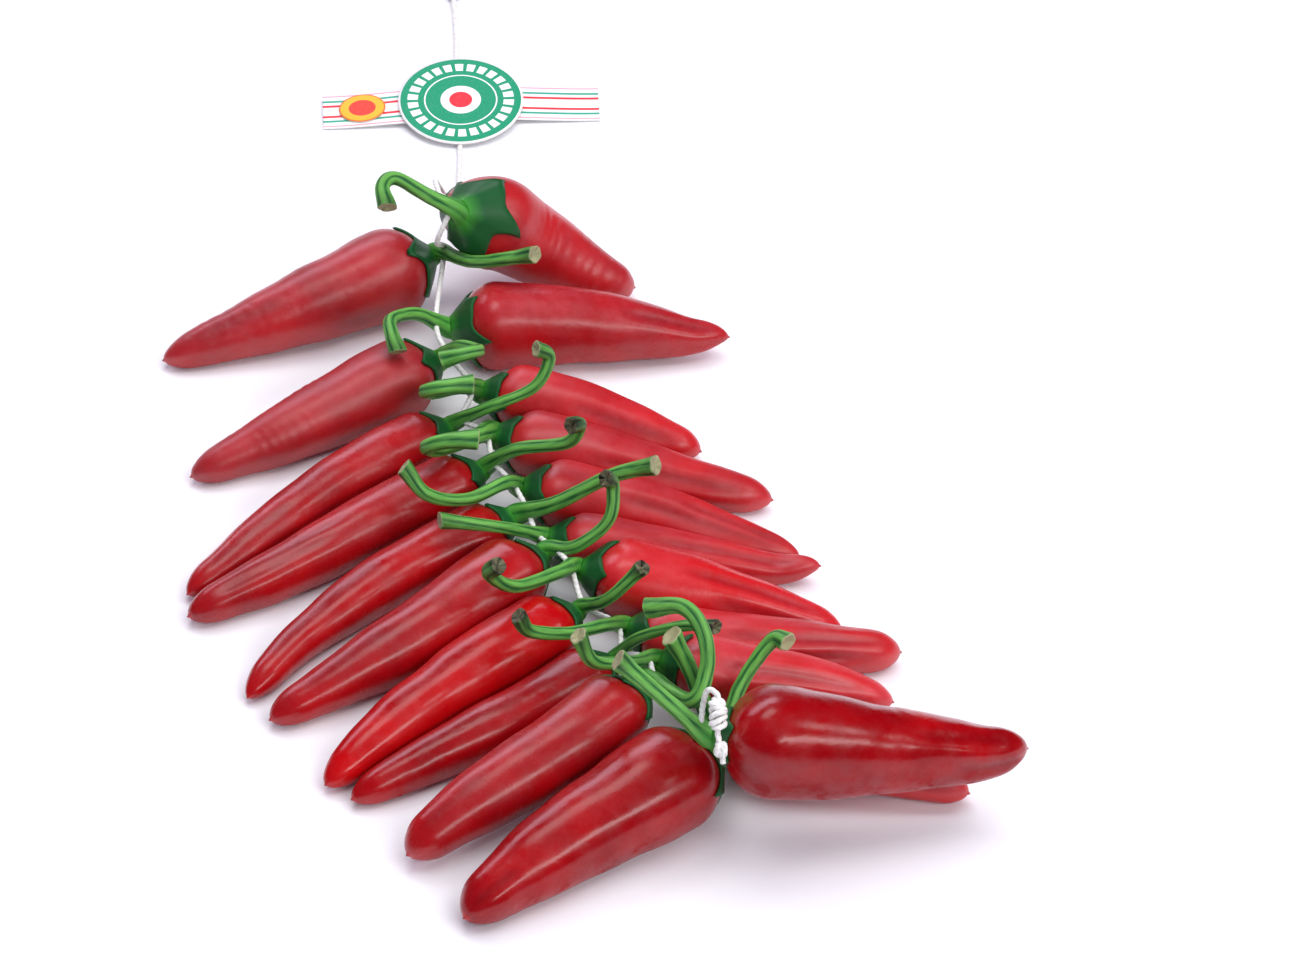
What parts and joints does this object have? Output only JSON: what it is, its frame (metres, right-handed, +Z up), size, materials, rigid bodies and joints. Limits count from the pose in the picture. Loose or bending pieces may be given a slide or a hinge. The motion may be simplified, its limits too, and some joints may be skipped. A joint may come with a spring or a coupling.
{
  "type": "string of fresh chillies",
  "caption": "Garland of ripe red chillies threaded by their green stalks on a white twine, with a round card label on a paper band and a hanging loop.",
  "frame": {"origin": "middle of the bottom of the box round the chillies, on the surface they lie on; the free twine with its label runs on past it along +Y", "axes": "+Y along the twine from its knotted front end to its hanging loop, +Z up, +X to the right-hand row of pods"},
  "size_m": [0.2689, 0.585, 0.0818],
  "materials": {
    "pod_skin": "waxy gloss",
    "stalk": "satin, ridged",
    "twine": "twisted cotton",
    "card": "printed matt",
    "band": "printed matt",
    "sticker": "printed satin"
  },
  "bodies": {
    "root": {"pod_l01": "pod_skin", "pod_l02": "pod_skin", "pod_l03": "pod_skin", "pod_l04": "pod_skin", "pod_l05": "pod_skin", "pod_l06": "pod_skin", "pod_l07": "pod_skin", "pod_l08": "pod_skin", "pod_l09": "pod_skin", "pod_l10": "pod_skin", "pod_r01": "pod_skin", "pod_r02": "pod_skin", "pod_r03": "pod_skin", "pod_r04": "pod_skin", "pod_r05": "pod_skin", "pod_r06": "pod_skin", "pod_r07": "pod_skin", "pod_r08": "pod_skin", "pod_r09": "pod_skin", "pod_r10": "pod_skin", "pod_r11": "pod_skin", "stalk_l01": "stalk", "stalk_l02": "stalk", "stalk_l03": "stalk", "stalk_l04": "stalk", "stalk_l05": "stalk", "stalk_l06": "stalk", "stalk_l07": "stalk", "stalk_l08": "stalk", "stalk_l09": "stalk", "stalk_l10": "stalk", "stalk_r01": "stalk", "stalk_r02": "stalk", "stalk_r03": "stalk", "stalk_r04": "stalk", "stalk_r05": "stalk", "stalk_r06": "stalk", "stalk_r07": "stalk", "stalk_r08": "stalk", "stalk_r09": "stalk", "stalk_r10": "stalk", "stalk_r11": "stalk", "twine": "twine", "end_knot": "twine", "tail_knot": "twine", "hanging_twine": "twine", "hanging_loop": "twine", "card_knot": "twine", "loop_knot": "twine", "label_card": "card", "label_band": "band", "label_roundel": "sticker"}
  },
  "joints": []
}
